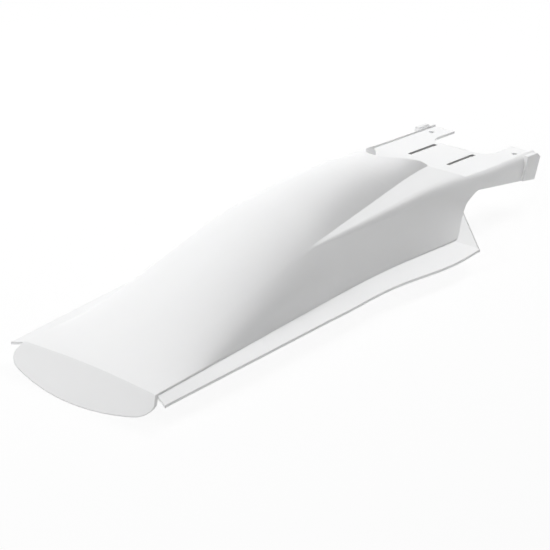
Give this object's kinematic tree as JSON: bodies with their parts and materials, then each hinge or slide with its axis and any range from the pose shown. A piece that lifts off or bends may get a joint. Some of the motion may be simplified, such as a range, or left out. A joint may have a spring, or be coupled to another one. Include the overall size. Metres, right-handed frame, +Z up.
{
  "type": "motorcycle rear fender",
  "caption": "One-piece moulded rear fender: crowned tail with a leaning end lip, side shelves and flanges, and two slotted front arms with bolt holes.",
  "frame": {"origin": "middle of the bounding box, at its lowest level", "axes": "+X forward along the motorcycle, from the tail to the arms; +Y to its left; +Z up"},
  "size_m": [0.6923, 0.2588, 0.1124],
  "materials": {
    "shell": "smooth satin white, coloured through"
  },
  "bodies": {
    "root": {"fender": "shell"}
  },
  "joints": []
}
